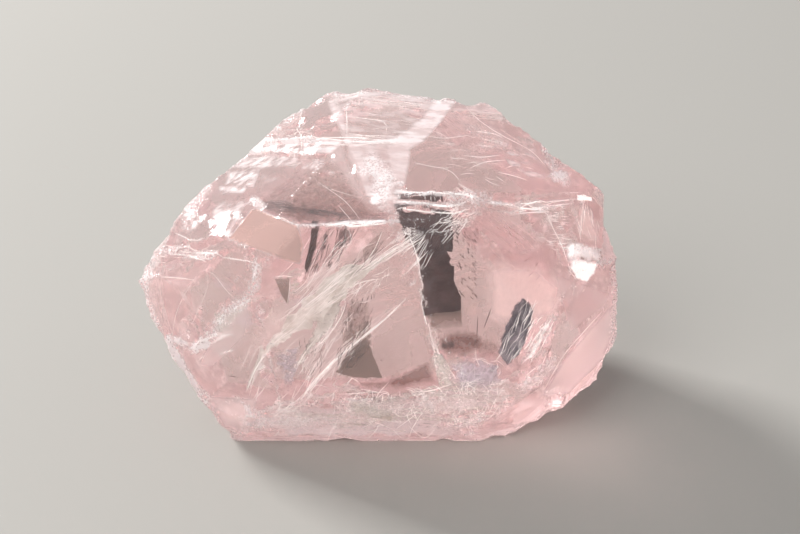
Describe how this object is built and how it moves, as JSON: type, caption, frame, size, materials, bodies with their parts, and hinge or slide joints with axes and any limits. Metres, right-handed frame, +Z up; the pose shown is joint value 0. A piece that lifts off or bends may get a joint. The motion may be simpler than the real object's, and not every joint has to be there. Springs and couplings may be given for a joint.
{
  "type": "rough diamond",
  "caption": "Rough, clear, pale pink gem crystal with flat cleavage faces, shell-shaped breaks, stepped ridges and chipped edges, lying on its broadest face.",
  "frame": {"origin": "middle of the stone's bounding box in plan, on the flat face that it lies on", "axes": "+X along the stone's length, to the right as its glassiest face is looked at; +Y away from that face; +Z up from the resting face"},
  "size_m": [0.0504, 0.0384, 0.0333],
  "materials": {
    "pink_crystal": "clear pale pink crystal with glassy cleavage faces, frosted chipped edges and silvery internal veils"
  },
  "bodies": {
    "root": {"rough_diamond": "pink_crystal"}
  },
  "joints": []
}
